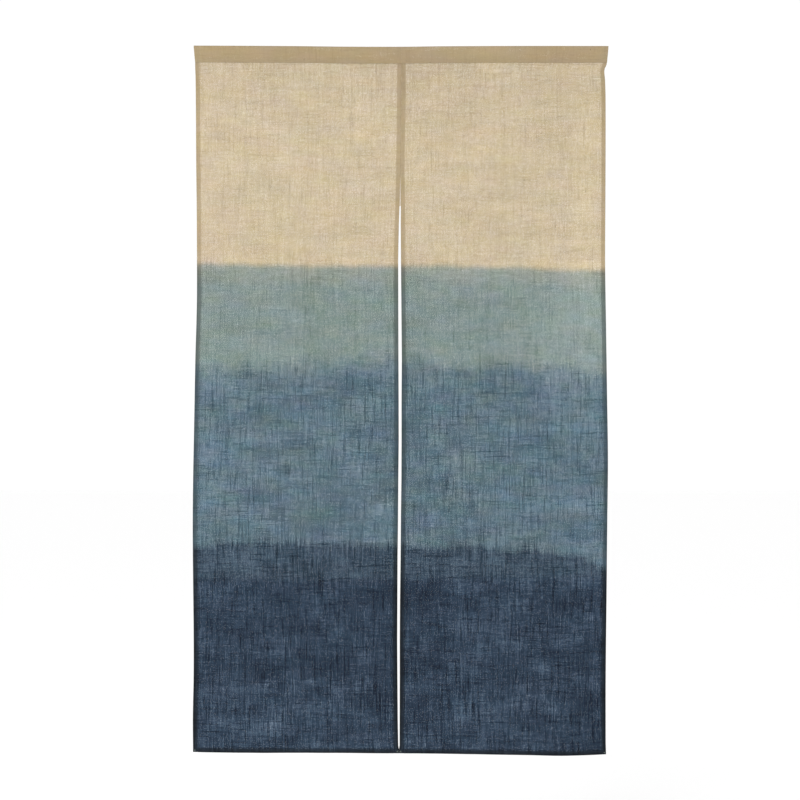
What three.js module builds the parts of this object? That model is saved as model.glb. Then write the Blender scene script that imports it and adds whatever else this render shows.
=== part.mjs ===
// Noren curtain: two hemmed linen panels hung from a rod-pocket heading, dip-dyed in four tones.
// The panels are sewn together down their upper third, and part at a slit below it.
// Millimetres, +Z up. The front faces -Y and +X is to the viewer's right.
// The origin is the middle of the heading's top edge, where a rod or slat would carry it.
import * as THREE from "three";

// Driving dimensions
const HALF_WIDTH = 440;
const DROP = 1500;
const PLY = 1.0;
const SEWN_GAP = 0.3;

// Heading: the strip is folded over, and its two legs grip the tops of the panels.
const HEADING_HEIGHT = 37;
const GRIP = 10;
const HEADING_TAPER = 3.2;
const HEADING_STATIONS = 16;
const HEADING_STEPS = 22;

// Hems: each edge is turned under twice, so it is thicker at the back.
const SIDE_HEM = 9;
const BOTTOM_HEM = 9;
const HEM_EXTRA = 0.6;
const HEM_STEP = 1;
const FIELD_COLUMNS = 11;
const LONGEST_ROW = 55;

// The cloth hangs flat out of the heading, and its folds reach full depth this far down.
const FOLDS_FULL_BELOW = 130;

// How much higher the heading's top edge lies than its middle, from the left end to the right.
const TOP_EDGE = [
  { x: -440, rise: 2.5 },
  { x: -340, rise: 2.1 },
  { x: -213, rise: 1.3 },
  { x: -128, rise: 0.3 },
  { x: 0, rise: 0 },
  { x: 84, rise: 1.0 },
  { x: 253, rise: 1.7 },
  { x: 440, rise: 1.6 },
];

// How much higher the bottom edge lies than the nominal drop.
const BOTTOM_EDGE = [
  { x: -440, rise: 4.1 },
  { x: -340, rise: 2.6 },
  { x: -128, rise: 2.3 },
  { x: 0, rise: 1.4 },
  { x: 84, rise: 0.7 },
  { x: 253, rise: -2.3 },
  { x: 338, rise: -4.1 },
  { x: 380, rise: -2.9 },
  { x: 440, rise: -0.3 },
];

// How far the curtain's left edge is drawn in from its nominal line, by depth below the top edge.
const LEFT_EDGE = [
  { below: 0, drawnIn: 2.8 },
  { below: 42, drawnIn: 3.1 },
  { below: 72, drawnIn: 4.1 },
  { below: 241, drawnIn: 5.4 },
  { below: 411, drawnIn: 6.9 },
  { below: 538, drawnIn: 6.9 },
  { below: 665, drawnIn: 3.7 },
  { below: 835, drawnIn: 0.5 },
  { below: 920, drawnIn: -1.1 },
  { below: 1047, drawnIn: -1.4 },
  { below: 1259, drawnIn: 0.5 },
  { below: 1344, drawnIn: 0.2 },
  { below: 1429, drawnIn: -1.3 },
  { below: 1500, drawnIn: -1.0 },
];

// The same for the right edge, which pinches in just under the heading.
const RIGHT_EDGE = [
  { below: 0, drawnIn: 3.2 },
  { below: 38, drawnIn: 3.8 },
  { below: 50, drawnIn: 8.6 },
  { below: 72, drawnIn: 7.2 },
  { below: 114, drawnIn: 6.1 },
  { below: 326, drawnIn: 6.5 },
  { below: 453, drawnIn: 7.2 },
  { below: 602, drawnIn: 5.0 },
  { below: 750, drawnIn: 3.1 },
  { below: 878, drawnIn: 1.4 },
  { below: 1005, drawnIn: 2.8 },
  { below: 1174, drawnIn: 4.6 },
  { below: 1344, drawnIn: 6.3 },
  { below: 1471, drawnIn: 6.3 },
  { below: 1500, drawnIn: 5.5 },
];

// The meeting of the panels: its middle line, and how far apart the two hemmed edges stand.
const MEETING = [
  { below: 0, middle: 1.0, apart: 0.3 },
  { below: 114, middle: 0.8, apart: 0.3 },
  { below: 230, middle: -1.2, apart: 0.3 },
  { below: 275, middle: -1.6, apart: 0.3 },
  { below: 284, middle: -1.6, apart: 1.2 },
  { below: 337, middle: -1.9, apart: 3.4 },
  { below: 377, middle: -2.7, apart: 4.5 },
  { below: 411, middle: -3.0, apart: 5.6 },
  { below: 453, middle: -3.2, apart: 6.4 },
  { below: 538, middle: -2.7, apart: 7.0 },
  { below: 665, middle: -2.0, apart: 7.5 },
  { below: 750, middle: -2.1, apart: 6.5 },
  { below: 835, middle: -2.0, apart: 6.7 },
  { below: 920, middle: -2.6, apart: 7.3 },
  { below: 1005, middle: -3.5, apart: 7.0 },
  { below: 1090, middle: -4.3, apart: 7.4 },
  { below: 1174, middle: -5.0, apart: 6.7 },
  { below: 1259, middle: -5.5, apart: 6.8 },
  { below: 1344, middle: -5.2, apart: 6.3 },
  { below: 1429, middle: -5.0, apart: 5.3 },
  { below: 1471, middle: -4.7, apart: 4.3 },
  { below: 1484, middle: -4.5, apart: 4.2 },
  { below: 1490, middle: -4.5, apart: 0.3 },
  { below: 1500, middle: -4.5, apart: 0.3 },
];

// Soft folds of the hanging cloth: each is a long ridge (towards the front, negative) or trough.
// lean is how far it drifts sideways for each millimetre down.
const FOLDS = [
  { x: 404, below: 240, wide: 24, tall: 210, lean: 0.05, depth: -3.4 },
  { x: 356, below: 250, wide: 28, tall: 190, lean: 0.06, depth: 2.4 },
  { x: 398, below: 82, wide: 9, tall: 34, lean: -0.75, depth: -1.6 },
  { x: -405, below: 300, wide: 30, tall: 240, lean: -0.02, depth: -1.8 },
  { x: -250, below: 420, wide: 90, tall: 260, lean: 0.03, depth: 1.6 },
  { x: 150, below: 440, wide: 100, tall: 280, lean: -0.04, depth: -1.6 },
  { x: -345, below: 830, wide: 80, tall: 330, lean: 0.05, depth: -4.2 },
  { x: -215, below: 1010, wide: 75, tall: 400, lean: -0.03, depth: 3.6 },
  { x: -80, below: 1230, wide: 60, tall: 330, lean: 0.03, depth: -3.0 },
  { x: 55, below: 1120, wide: 55, tall: 330, lean: -0.02, depth: 2.6 },
  { x: 175, below: 960, wide: 80, tall: 360, lean: 0.04, depth: -3.6 },
  { x: 300, below: 1180, wide: 75, tall: 380, lean: -0.03, depth: 3.2 },
  { x: 404, below: 1290, wide: 45, tall: 300, lean: 0.02, depth: -2.8 },
  { x: -418, below: 1330, wide: 40, tall: 240, lean: 0.03, depth: 2.4 },
];

// Middle line of the heading's section: up the front leg, over the top and down the back leg.
const FRONT_LEG_Y = -(PLY + SEWN_GAP);
const BACK_LEG_Y = PLY + SEWN_GAP + HEM_EXTRA;
const HEADING_SECTION = [
  { y: FRONT_LEG_Y, z: -HEADING_HEIGHT },
  { y: FRONT_LEG_Y, z: -HEADING_HEIGHT + GRIP / 2 },
  { y: FRONT_LEG_Y - 0.1, z: -HEADING_HEIGHT + GRIP },
  { y: -2.9, z: -22 },
  { y: -3.4, z: -13 },
  { y: -2.8, z: -4.5 },
  { y: 0.2, z: -PLY / 2 },
  { y: 3.8, z: -3.4 },
  { y: 5.5, z: -10 },
  { y: 5.3, z: -19 },
  { y: BACK_LEG_Y + 0.1, z: -HEADING_HEIGHT + GRIP },
  { y: BACK_LEG_Y, z: -HEADING_HEIGHT + GRIP / 2 },
  { y: BACK_LEG_Y, z: -HEADING_HEIGHT },
];

// Tones of the dip dye, from the undyed top down, with how far down each begins.
const DYE_TONES = [
  { below: 0, tone: 0xcdb994 },
  { below: 466, tone: 0x94a39a },
  { below: 674, tone: 0x647984 },
  { below: 1062, tone: 0x3a4a5a },
];
const HEADING_TONE = 0xb5a17f;
const LINEN_ROUGHNESS = 0.92;

// The value of one column between a table's rows, on a smooth curve through them.
function smoothValue(table, along, column, at) {
  const last = table.length - 1;
  const where = THREE.MathUtils.clamp(at, table[0][along], table[last][along]);
  let row = 0;
  while (row < last - 1 && where > table[row + 1][along]) row += 1;
  const slope = (k) => {
    const before = table[Math.max(k - 1, 0)];
    const after = table[Math.min(k + 1, last)];
    return (after[column] - before[column]) / (after[along] - before[along]);
  };
  const span = table[row + 1][along] - table[row][along];
  const t = (where - table[row][along]) / span;
  const start = table[row][column];
  const end = table[row + 1][column];
  const bend = t * (1 - t);
  const straight = start + (end - start) * t;
  const pull = (slope(row) * span - (end - start)) * (1 - t) - (slope(row + 1) * span - (end - start)) * t;
  return straight + bend * pull;
}

// The value of one column between a table's rows, on straight lines.
function straightValue(table, along, column, at) {
  const last = table.length - 1;
  let row = 0;
  while (row < last - 1 && at > table[row + 1][along]) row += 1;
  const from = table[row];
  const to = table[row + 1];
  return THREE.MathUtils.mapLinear(at, from[along], to[along], from[column], to[column]);
}

const topRise = (x) => smoothValue(TOP_EDGE, "x", "rise", x);
const bottomRise = (x) => smoothValue(BOTTOM_EDGE, "x", "rise", x);

// Height of a point of the curtain: the depth below the top edge, eased from one edge's line to the other's.
function heightOf(x, below) {
  const share = below / DROP;
  return topRise(x) * (1 - share) + bottomRise(x) * share - below;
}

// How far back the hanging cloth lies: every fold is a bell across its ridge and along it.
function hangDepth(x, below) {
  const freed = THREE.MathUtils.smoothstep(below, HEADING_HEIGHT, FOLDS_FULL_BELOW);
  let depth = 0;
  for (const fold of FOLDS) {
    const aside = (x - fold.x - fold.lean * (below - fold.below)) / fold.wide;
    const away = (below - fold.below) / fold.tall;
    depth += fold.depth * Math.exp(-aside * aside - away * away);
  }
  return freed * depth;
}

// The two long edges of each panel as functions of the depth below the top edge.
const leftEdge = (below) => -HALF_WIDTH + smoothValue(LEFT_EDGE, "below", "drawnIn", below);
const rightEdge = (below) => HALF_WIDTH - smoothValue(RIGHT_EDGE, "below", "drawnIn", below);
function meetingEdge(below, side) {
  const middle = straightValue(MEETING, "below", "middle", below);
  const apart = straightValue(MEETING, "below", "apart", below);
  return middle + (side * apart) / 2;
}

// A closed solid between two grids of points that share their rim.
// Looking at the first grid from outside, rows run down and columns run to the right.
function solidBetween(rows, columns, outerPoint, innerPoint) {
  const positions = [];
  for (const pointAt of [outerPoint, innerPoint]) {
    for (let row = 0; row < rows; row += 1) {
      for (let column = 0; column < columns; column += 1) positions.push(...pointAt(row, column));
    }
  }
  const outer = (row, column) => row * columns + column;
  const inner = (row, column) => rows * columns + outer(row, column);
  const indices = [];
  const quad = (a, b, c, d) => indices.push(a, b, c, a, c, d);
  const lastRow = rows - 1;
  const lastColumn = columns - 1;
  for (let row = 0; row < lastRow; row += 1) {
    for (let column = 0; column < lastColumn; column += 1) {
      const right = column + 1;
      const down = row + 1;
      quad(outer(row, column), outer(down, column), outer(down, right), outer(row, right));
      quad(inner(row, column), inner(row, right), inner(down, right), inner(down, column));
    }
    quad(outer(row, 0), inner(row, 0), inner(row + 1, 0), outer(row + 1, 0));
    quad(outer(row, lastColumn), outer(row + 1, lastColumn), inner(row + 1, lastColumn), inner(row, lastColumn));
  }
  for (let column = 0; column < lastColumn; column += 1) {
    quad(outer(0, column), outer(0, column + 1), inner(0, column + 1), inner(0, column));
    quad(outer(lastRow, column), inner(lastRow, column), inner(lastRow, column + 1), outer(lastRow, column + 1));
  }
  const geometry = new THREE.BufferGeometry();
  geometry.setAttribute("position", new THREE.Float32BufferAttribute(positions, 3));
  geometry.setIndex(indices);
  geometry.computeVertexNormals();
  return geometry;
}

// Depths of a panel's rows: the rows of the meeting table, with longer stretches divided evenly,
// between the top that the heading grips and the turned-under bottom.
function panelRows() {
  const bottomHemTop = DROP - BOTTOM_HEM;
  const marks = MEETING.map((row) => row.below).filter((below) => below > HEADING_HEIGHT);
  marks.unshift(HEADING_HEIGHT - GRIP, HEADING_HEIGHT, HEADING_HEIGHT + 13, HEADING_HEIGHT + 35);
  marks.splice(-1, 0, bottomHemTop);
  const depths = [marks[0]];
  for (let k = 1; k < marks.length; k += 1) {
    const steps = Math.ceil((marks[k] - marks[k - 1]) / LONGEST_ROW);
    for (let step = 1; step <= steps; step += 1) {
      depths.push(THREE.MathUtils.lerp(marks[k - 1], marks[k], step / steps));
    }
  }
  return depths;
}

// Distances across a panel: the hem at each side, its step down to the single cloth, then the field.
function panelColumns(width) {
  const fieldStart = SIDE_HEM + HEM_STEP;
  const fieldWidth = width - 2 * fieldStart;
  const across = [0, SIDE_HEM];
  for (let k = 0; k <= FIELD_COLUMNS; k += 1) across.push(fieldStart + (fieldWidth * k) / FIELD_COLUMNS);
  across.push(width - SIDE_HEM, width);
  return across;
}

// One panel: a single ply whose front is smooth, with the hems' extra plies at its back.
function panelGeometry(leftOf, rightOf) {
  const depths = panelRows();
  const columns = panelColumns(1000).length;
  const acrossAt = depths.map((below) => panelColumns(rightOf(below) - leftOf(below)));
  const surfacePoint = (row, column, offset) => {
    const below = depths[row];
    const x = leftOf(below) + acrossAt[row][column];
    return [x, hangDepth(x, below) + offset, heightOf(x, below)];
  };
  const inHem = (column) => column < 2 || column > columns - 3;
  const inBottomHem = (row) => depths[row] >= DROP - BOTTOM_HEM;
  const backOffset = (row, column) => {
    const turned = inHem(column) || inBottomHem(row);
    return PLY / 2 + (turned ? HEM_EXTRA : 0);
  };
  return solidBetween(
    depths.length,
    columns,
    (row, column) => surfacePoint(row, column, -PLY / 2),
    (row, column) => surfacePoint(row, column, backOffset(row, column)),
  );
}

// The tone of the dyed cloth at every point of a panel.
function dyePanel(geometry) {
  const place = geometry.getAttribute("position");
  const tones = [];
  for (let k = 0; k < place.count; k += 1) {
    const reached = DYE_TONES.filter((band) => -place.getZ(k) >= band.below - PLY);
    const band = reached.length ? reached[reached.length - 1] : DYE_TONES[0];
    tones.push(...new THREE.Color(band.tone).toArray());
  }
  geometry.setAttribute("color", new THREE.Float32BufferAttribute(tones, 3));
  return geometry;
}

// The heading: its section is carried from end to end, and its ends taper in towards the panels.
function headingGeometry() {
  const legStart = HEADING_SECTION[1];
  const legEnd = HEADING_SECTION[HEADING_SECTION.length - 2];
  const round = HEADING_SECTION.slice(1, -1).map((point) => new THREE.Vector2(point.y, point.z));
  const over = new THREE.SplineCurve(round);
  const middle = [new THREE.Vector2(legStart.y, -HEADING_HEIGHT)];
  const normals = [new THREE.Vector2(-1, 0)];
  for (let step = 0; step <= HEADING_STEPS; step += 1) {
    const t = step / HEADING_STEPS;
    const tangent = over.getTangentAt(t);
    middle.push(over.getPointAt(t));
    normals.push(new THREE.Vector2(-tangent.y, tangent.x).normalize());
  }
  middle.push(new THREE.Vector2(legEnd.y, -HEADING_HEIGHT));
  normals.push(new THREE.Vector2(1, 0));
  const pointAt = (side) => (row, column) => {
    const section = middle[row].clone().addScaledVector(normals[row], (side * PLY) / 2);
    const taper = (HEADING_TAPER * -section.y) / HEADING_HEIGHT;
    const share = (2 * column) / HEADING_STATIONS - 1;
    const x = share * (HALF_WIDTH - taper);
    return [x, section.x, section.y + topRise(x)];
  };
  return solidBetween(middle.length, HEADING_STATIONS + 1, pointAt(-1), pointAt(1));
}

const linen = (options) => new THREE.MeshStandardMaterial({ roughness: LINEN_ROUGHNESS, metalness: 0, ...options });

function namedMesh(name, geometry, material) {
  const mesh = new THREE.Mesh(geometry, material);
  mesh.name = name;
  return mesh;
}

const curtain = new THREE.Group();
curtain.add(namedMesh("heading", headingGeometry(), linen({ color: HEADING_TONE })));

const panels = [
  { name: "panel_left", leftOf: leftEdge, rightOf: (below) => meetingEdge(below, -1) },
  { name: "panel_right", leftOf: (below) => meetingEdge(below, 1), rightOf: rightEdge },
];
for (const { name, leftOf, rightOf } of panels) {
  curtain.add(namedMesh(name, dyePanel(panelGeometry(leftOf, rightOf)), linen({ vertexColors: true })));
}

export default curtain;
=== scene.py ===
# %% [markdown]
# # A dip-dyed noren
# A noren is a doorway curtain: two linen panels hang side by side from one heading, sewn together at the
# top and open as a slit below, so that people can walk through. This lesson dresses the plain solids of
# the model with real cloth: every hem is folded, every seam is stitched, and the dye climbs the threads.
# Shapes are worked out in millimetres as whole numpy arrays and written into meshes in metres.

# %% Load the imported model
import math

import bpy
import numpy as np
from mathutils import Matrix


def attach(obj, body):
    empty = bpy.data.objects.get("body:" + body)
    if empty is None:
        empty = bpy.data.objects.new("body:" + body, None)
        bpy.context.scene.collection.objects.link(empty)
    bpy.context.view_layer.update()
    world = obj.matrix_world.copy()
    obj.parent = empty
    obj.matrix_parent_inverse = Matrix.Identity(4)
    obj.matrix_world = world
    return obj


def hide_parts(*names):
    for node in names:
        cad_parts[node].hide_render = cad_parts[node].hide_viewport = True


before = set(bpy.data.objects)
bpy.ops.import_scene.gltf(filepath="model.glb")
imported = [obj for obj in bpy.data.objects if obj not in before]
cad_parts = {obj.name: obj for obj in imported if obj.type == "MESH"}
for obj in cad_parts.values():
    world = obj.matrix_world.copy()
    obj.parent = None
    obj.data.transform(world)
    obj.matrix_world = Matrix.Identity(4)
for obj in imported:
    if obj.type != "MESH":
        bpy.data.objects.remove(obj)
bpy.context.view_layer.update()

MM = 0.001
print("nodes of the model:", sorted(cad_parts))

# %% [markdown]
# ## The camera
# The cloth was looked at square on, from far away, so its edges show no perspective. A long lens six
# metres off does the same. The picture is square, and its width at the cloth is a named real size.

# %% Camera
PICTURE_WIDTH_MM = 1697.0
CAMERA_DISTANCE = 6.0
CAMERA_ASIDE_MM = -2.3
CAMERA_HEIGHT_MM = -749.0
SENSOR_MM = 36.0

camera_data = bpy.data.cameras.new("camera")
camera_data.sensor_width = SENSOR_MM
camera_data.lens = SENSOR_MM * CAMERA_DISTANCE / (PICTURE_WIDTH_MM * MM)
camera = bpy.data.objects.new("camera", camera_data)
camera.location = (CAMERA_ASIDE_MM * MM, -CAMERA_DISTANCE, CAMERA_HEIGHT_MM * MM)
camera.rotation_euler = (math.radians(90), 0, 0)
bpy.context.scene.collection.objects.link(camera)
bpy.context.scene.camera = camera
print(f"lens {camera_data.lens:.1f} mm at {CAMERA_DISTANCE} m")

# %% [markdown]
# ## Driving sizes
# These are the maker's sizes. The panels hang 1.5 m from the top edge, the side and bottom hems are
# turned under twice, and the heading strip grips the panels' tops. LAYER is how far apart pressed
# layers of this linen lie.

# %% Sizes of the cloth, in millimetres
HALF_WIDTH = 440.0
DROP = 1500.0
HEADING_HEIGHT = 37.0
HEADING_TAPER = 3.2
GRIP = 10.0
SIDE_HEM = 9.0
BOTTOM_HEM = 9.0
TURNED_UNDER = 8.0
LAYER = 0.42
FACE_AT = -0.5
FOLDS_FULL_BELOW = 130.0
GRID_STEP = 4.0

# %% [markdown]
# ## How the curtain hangs
# No edge of a hung cloth is straight. Each short table gives a place and a value, and a smooth curve
# runs through its rows: the top edge dips in the middle, the sides draw in where the cloth is taut, and
# the slit opens, bows and closes again at the corners. The same tables shape the solids.

# %% Tables of the edges
# Columns: place across, how much higher the edge lies than its nominal line.
TOP_EDGE = np.array([
    (-440, 2.5), (-340, 2.1), (-213, 1.3), (-128, 0.3), (0, 0), (84, 1.0), (253, 1.7), (440, 1.6),
])
BOTTOM_EDGE = np.array([
    (-440, 3.8), (-340, 2.3), (-128, 2.1), (0, 1.1), (84, 0.4), (253, -2.5), (338, -4.2), (380, -3.1),
    (440, -0.6),
])
# Columns: depth below the top edge, how far the side is drawn in from its nominal line.
LEFT_EDGE = np.array([
    (0, 2.8), (42, 3.1), (72, 4.1), (241, 5.4), (411, 6.9), (538, 6.9), (665, 3.7), (835, 0.5), (920, -1.2),
    (1047, -2.0), (1259, -0.1), (1344, -0.4), (1429, -1.8), (1500, -1.5),
])
RIGHT_EDGE = np.array([
    (0, 3.2), (38, 3.8), (50, 8.6), (72, 7.2), (114, 6.1), (326, 6.5), (453, 7.2), (602, 5.0), (750, 2.8),
    (878, 1.1), (1005, 2.5), (1174, 4.3), (1344, 6.0), (1471, 6.0), (1500, 5.2),
])
# Columns: depth below the top edge, middle of the meeting, how far apart the two hemmed edges stand.
MEETING = np.array([
    (0, 1.0, 0.02), (114, 0.8, 0.02), (230, -1.2, 0.02), (275, -1.6, 0.02), (284, -1.6, 0.7),
    (337, -1.9, 2.6), (377, -2.7, 3.7), (411, -3.0, 4.8), (453, -3.2, 5.7), (538, -2.7, 6.4),
    (665, -2.0, 7.0), (750, -2.1, 6.0), (835, -2.0, 5.9), (920, -2.6, 6.4), (1005, -3.5, 6.0),
    (1090, -4.3, 6.3), (1174, -5.0, 5.5), (1259, -5.5, 5.4), (1344, -5.2, 4.8), (1429, -5.0, 3.9),
    (1471, -4.7, 3.0), (1484, -4.5, 2.7), (1490, -4.5, 0.02), (1500, -4.5, 0.02),
])


def curve_through(table, at, column=1):
    """A smooth curve through a table's rows.

    Between two rows the value goes straight from one to the other, plus a bend that makes its slope at
    each row the slope from the row before to the row after.
    """
    place, value = table[:, 0], table[:, column]
    at = np.clip(at, place[0], place[-1])
    row = np.clip(np.searchsorted(place, at, side="right") - 1, 0, len(place) - 2)
    rows = np.arange(len(place))
    before, after = np.maximum(rows - 1, 0), np.minimum(rows + 1, rows[-1])
    slope = (value[after] - value[before]) / (place[after] - place[before])
    span, rise = place[row + 1] - place[row], value[row + 1] - value[row]
    t = (at - place[row]) / span
    pull = (slope[row] * span - rise) * (1 - t) - (slope[row + 1] * span - rise) * t
    return value[row] + rise * t + t * (1 - t) * pull


def height_of(x, below):
    """Height of a point: minus its depth, plus the rise of the top edge's line turning into the bottom's."""
    share = below / DROP
    return curve_through(TOP_EDGE, x) * (1 - share) + curve_through(BOTTOM_EDGE, x) * share - below


def left_edge(below):
    """The left side: half the width to the left, drawn in by its table."""
    return -HALF_WIDTH + curve_through(LEFT_EDGE, below)


def right_edge(below):
    """The right side: half the width to the right, drawn in by its table."""
    return HALF_WIDTH - curve_through(RIGHT_EDGE, below)


def meeting_edge(below, side):
    """The hemmed edge beside the slit: the middle of the meeting, plus half the gap to that side."""
    middle, apart = (np.interp(below, MEETING[:, 0], MEETING[:, k]) for k in (1, 2))
    return middle + side * apart / 2


print("slit at its widest:", round(MEETING[:, 2].max(), 1), "mm")

# %% [markdown]
# ## Folds
# The cloth hangs nearly flat, with long soft ridges and troughs. Each one is a bell across its ridge
# and a longer bell along it. Hand-hung linen also cockles a little: a few low waves of seeded length
# and direction keep any stretch from being truly flat. Both fade in below the heading, which holds the
# cloth straight.

# %% Folds and cockling
# Columns: place across, depth below, width, length, sideways lean for each mm down, depth of the fold.
FOLDS = np.array([
    (404, 240, 24, 210, 0.05, -3.4), (356, 250, 28, 190, 0.06, 2.4), (398, 82, 9, 34, -0.75, -1.6),
    (-405, 300, 30, 240, -0.02, -1.8), (-250, 420, 90, 260, 0.03, 1.6), (150, 440, 100, 280, -0.04, -1.6),
    (-345, 830, 80, 330, 0.05, -4.2), (-215, 1010, 75, 400, -0.03, 3.6), (-80, 1230, 60, 330, 0.03, -3.0),
    (55, 1120, 55, 330, -0.02, 2.6), (175, 960, 80, 360, 0.04, -3.6), (300, 1180, 75, 380, -0.03, 3.2),
    (404, 1290, 45, 300, 0.02, -2.8), (-418, 1330, 40, 240, 0.03, 2.4),
])
seeded = np.random.default_rng(88150)
COCKLES = 16
COCKLE_SHORTEST, COCKLE_LONGEST = 38, 150
COCKLE_TURN = 0.35
COCKLE_STEEPNESS = 0.0022
cockle_length = seeded.uniform(COCKLE_SHORTEST, COCKLE_LONGEST, COCKLES)
cockle_heading = seeded.normal(0, COCKLE_TURN, COCKLES)
cockle_start = seeded.uniform(0, 2 * math.pi, COCKLES)
cockle_size = COCKLE_STEEPNESS * cockle_length


def hang_depth(x, below):
    """How far back the cloth lies: the sum of the folds' bells, fading in below the heading."""
    t = np.clip((below - HEADING_HEIGHT) / (FOLDS_FULL_BELOW - HEADING_HEIGHT), 0, 1)
    depth = np.zeros(np.broadcast(x, below).shape)
    for place, middle, wide, tall, lean, size in FOLDS:
        aside = (x - place - lean * (below - middle)) / wide
        depth = depth + size * np.exp(-aside**2 - ((below - middle) / tall) ** 2)
    return t * t * (3 - 2 * t) * depth


def cockling(x, below):
    """Low waves: sines of seeded length, direction and start, added up, fading in below the heading."""
    t = np.clip((below - HEADING_HEIGHT) / FOLDS_FULL_BELOW, 0, 1)
    waves = np.zeros(np.broadcast(x, below).shape)
    for length, turn, start, size in zip(cockle_length, cockle_heading, cockle_start, cockle_size):
        across = x * math.cos(turn) + below * math.sin(turn)
        waves = waves + size * np.sin(2 * math.pi * across / length + start)
    return t * waves


print("deepest fold:", np.abs(FOLDS[:, 5]).max(), "mm; cockles:", COCKLES)

# %% [markdown]
# ## Writing grids into meshes
# Every piece of cloth is a grid of points. This helper joins one or more grids into one mesh, keeps the
# cloth's own flat coordinates as a UV map, so that a weave follows the folds, and stores how far each
# point lies below each line of the dye.

# %% Grids to a mesh
# Columns: place across, how far below the top edge the three dye lines lie, and the second dip into navy.
DYE_LINES = np.array([
    (-440, 462, 681, 1063, 1130), (-380, 463, 686, 1055, 1130), (-300, 465, 680, 1052, 1129),
    (-200, 466, 672, 1053, 1130), (-100, 466, 665, 1056, 1128), (0, 465, 661, 1057, 1126),
    (60, 464, 667, 1059, 1126), (150, 467, 675, 1057, 1122), (230, 468, 673, 1065, 1120),
    (300, 471, 675, 1062, 1119), (360, 475, 679, 1073, 1118), (400, 475, 691, 1088, 1118),
    (440, 475, 697, 1108, 1118),
])
# Columns: place across, depth below, width, length, how much paler the cloth is there. A share below zero
# makes it darker; the wide darker band just under the top edge is painted shade of the heading.
PALER = np.array([
    (400, 400, 60, 280, 0.07), (380, 600, 80, 110, 0.09), (350, 780, 40, 110, 0.05),
    (400, 1105, 50, 24, 0.05), (-428, 760, 22, 900, 0.035), (-420, 1130, 60, 45, 0.045),
    (-335, 1425, 95, 75, 0.09), (-25, 220, 25, 110, 0.05), (0, 20, 900, 90, -0.085),
    (0, 1024, 900, 32, -0.025), (20, 1260, 85, 120, -0.045), (180, 1430, 170, 75, 0.06),
    (410, 1440, 45, 110, -0.05), (-415, 812, 30, 50, 0.04), (-400, 530, 60, 60, 0.03),
    (-180, 570, 110, 60, -0.03), (30, 845, 90, 100, -0.055), (60, 1178, 110, 42, -0.04),
    (395, 1180, 40, 40, -0.04), (190, 12, 110, 25, 0.04), (-350, 725, 50, 40, 0.06),
    (-110, 731, 65, 35, -0.045), (-200, 1005, 90, 30, -0.02), (380, 1005, 60, 40, 0.035),
    (-420, 1458, 30, 25, -0.15), (295, 1290, 60, 60, -0.03), (-190, 1465, 110, 55, 0.08),
])


def paleness(x, below):
    """How much paler a point is: the sum of the places' bells, each times its share."""
    place_x, place_below, width, length, share = PALER.T
    aside, down = (x[:, None] - place_x) / width, (below[:, None] - place_below) / length
    return np.exp(-(aside**2) - down**2) @ share


def quads_of(rows, columns, first=0):
    """Corner numbers of a grid's faces, so that rows run down, columns run right and faces look forward."""
    corner = first + np.arange(rows * columns).reshape(rows, columns)
    faces = np.stack([corner[:-1, :-1], corner[1:, :-1], corner[1:, 1:], corner[:-1, 1:]], axis=-1)
    return faces.reshape(-1, 4)


def mesh_object(name, points, faces):
    """A smooth-shaded mesh object at the origin, from points in millimetres."""
    mesh = bpy.data.meshes.new(name)
    mesh.from_pydata(points * MM, [], faces)
    mesh.polygons.foreach_set("use_smooth", np.full(len(mesh.polygons), True))
    mesh.update()
    piece = bpy.data.objects.new(name, mesh)
    bpy.context.scene.collection.objects.link(piece)
    return piece


def cloth_object(name, grids):
    """One cloth piece from grids of points, flat coordinates, depths below the top edge and hem shares."""
    points, flats, belows, hems, faces, first = [], [], [], [], [], 0
    for point, flat, below, hem in grids:
        rows, columns = below.shape
        points.append(point.reshape(-1, 3))
        flats.append(flat.reshape(-1, 2))
        belows.append(below.ravel())
        hems.append((hem + below * 0).ravel())
        faces.append(quads_of(rows, columns, first))
        first += rows * columns
    joined = (np.concatenate(part) for part in (points, flats, belows, hems, faces))
    points, flats, belows, hems, faces = joined
    piece = mesh_object(name, points, faces)
    layer = piece.data.uv_layers.new(name="cloth")
    layer.data.foreach_set("uv", (flats[faces] * MM).ravel())
    values = {}
    for number in (1, 2, 3, 4):
        values[f"past_line_{number}"] = (belows - curve_through(DYE_LINES, points[:, 0], number)) * MM
    values["hem"] = hems
    values["paler"] = paleness(points[:, 0], belows)
    for attribute, value in values.items():
        piece.data.attributes.new(attribute, "FLOAT", "POINT").data.foreach_set("value", value)
    print(f"{name}: {len(faces)} faces")
    return piece


# %% [markdown]
# ## A double hem
# A hem could be painted on, but then its edge would be flat and light would pass it like the rest. So
# the cloth is really folded: it runs down the face, turns round the outer fold, goes back behind itself,
# turns under again, and ends in a raw edge hidden between the layers. Its darker tone is painted on as
# well: painted shade of the stacked layers.

# %% Sections of folded edges
def half_turn(middle_in, middle_deep, radius, from_degrees, steps):
    """A half circle of section points: from an angle, half way round its middle."""
    turn = np.radians(from_degrees + np.linspace(0, 180, steps))
    return middle_in + radius * np.cos(turn), middle_deep + radius * np.sin(turn)


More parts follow.
